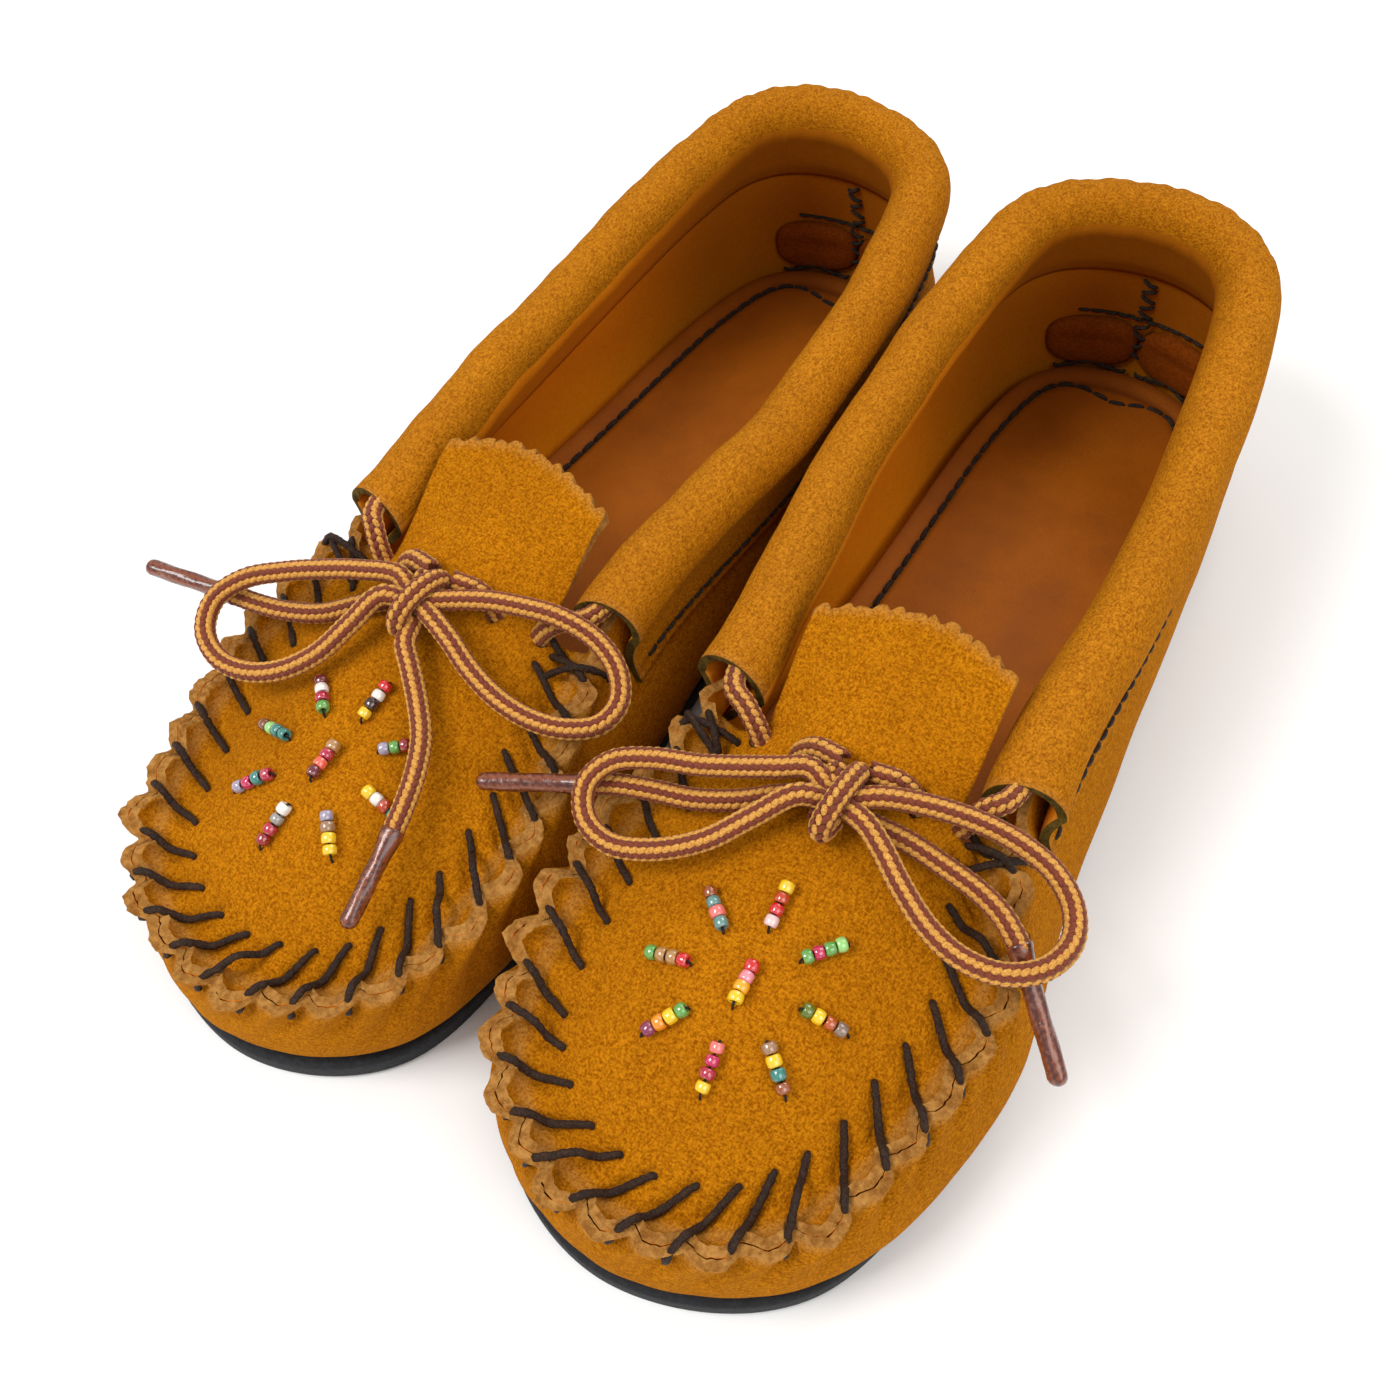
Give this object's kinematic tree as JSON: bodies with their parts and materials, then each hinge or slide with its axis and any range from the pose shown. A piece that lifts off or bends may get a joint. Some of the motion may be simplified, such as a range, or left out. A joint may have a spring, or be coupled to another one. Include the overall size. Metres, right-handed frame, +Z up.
{
  "type": "moccasin",
  "caption": "Pair of beaded suede moccasins: whip-stitched apron toe, loose tongue, rolled collar with braided lace bow, leather footbed, thin rubber sole.",
  "frame": {"origin": "on the ground, in the middle of the pair's box without the free lace ends", "axes": "+Z up, toes towards -Y, the wearer's left shoe at +X"},
  "size_m": [0.2016, 0.2539, 0.0676],
  "materials": {
    "suede": "napped golden tan suede, matte",
    "footbed_leather": "smooth darker tan leather, semi-matte",
    "rubber": "black crepe rubber, matte",
    "foam": "open-cell foam, hidden",
    "waxed_thread": "waxed dark brown thread, slightly glossy",
    "lace_braid": "round braid, rust brown and gold",
    "aglet_film": "clear film over the braid, glossy",
    "glass_beads": "opaque and lustre glass seed beads in mixed colours, glossy"
  },
  "bodies": {
    "left_shoe": {"left_outsole": "rubber", "left_bottom_wrap": "suede", "left_insole_pad": "foam", "left_sock_liner": "footbed_leather", "left_footbed_thread": "waxed_thread", "left_apron": "suede", "left_collar": "suede", "left_collar_thread": "waxed_thread", "left_heel_tab": "suede", "left_back_seam_thread": "waxed_thread", "left_apron_lacing": "waxed_thread", "left_bead_strand_1": "glass_beads", "left_bead_strand_2": "glass_beads", "left_bead_strand_3": "glass_beads", "left_bead_strand_4": "glass_beads", "left_bead_strand_5": "glass_beads", "left_bead_strand_6": "glass_beads", "left_bead_strand_7": "glass_beads", "left_bead_strand_8": "glass_beads", "left_bead_strand_9": "glass_beads", "left_lace": "lace_braid", "left_knot": "lace_braid", "left_bow_inner_loop": "lace_braid", "left_bow_outer_loop": "lace_braid", "left_bow_inner_tail": "lace_braid", "left_inner_aglet": "aglet_film", "left_bow_outer_tail": "lace_braid", "left_outer_aglet": "aglet_film"},
    "left_tongue": {"left_tongue": "suede"},
    "right_shoe": {"right_outsole": "rubber", "right_bottom_wrap": "suede", "right_insole_pad": "foam", "right_sock_liner": "footbed_leather", "right_footbed_thread": "waxed_thread", "right_apron": "suede", "right_collar": "suede", "right_collar_thread": "waxed_thread", "right_heel_tab": "suede", "right_back_seam_thread": "waxed_thread", "right_apron_lacing": "waxed_thread", "right_bead_strand_1": "glass_beads", "right_bead_strand_2": "glass_beads", "right_bead_strand_3": "glass_beads", "right_bead_strand_4": "glass_beads", "right_bead_strand_5": "glass_beads", "right_bead_strand_6": "glass_beads", "right_bead_strand_7": "glass_beads", "right_bead_strand_8": "glass_beads", "right_bead_strand_9": "glass_beads", "right_lace": "lace_braid", "right_knot": "lace_braid", "right_bow_outer_loop": "lace_braid", "right_bow_inner_loop": "lace_braid", "right_bow_outer_tail": "lace_braid", "right_outer_aglet": "aglet_film", "right_bow_inner_tail": "lace_braid", "right_inner_aglet": "aglet_film"},
    "right_tongue": {"right_tongue": "suede"}
  },
  "joints": [
    {"name": "left_tongue_lift", "type": "hinge", "parent": "left_shoe", "child": "left_tongue", "pos_m": [0.04424, -0.03582, 0.051], "axis": [0.9994, 0.0349, 0], "range_deg": [0, 70]},
    {"name": "right_shoe_slide", "type": "slide", "parent": "left_shoe", "child": "right_shoe", "axis": [-1, 0, 0], "range_m": [0, 0.08]},
    {"name": "right_tongue_lift", "type": "hinge", "parent": "right_shoe", "child": "right_tongue", "pos_m": [-0.04424, -0.03582, 0.051], "axis": [0.9994, -0.0349, 0], "range_deg": [0, 70]}
  ]
}
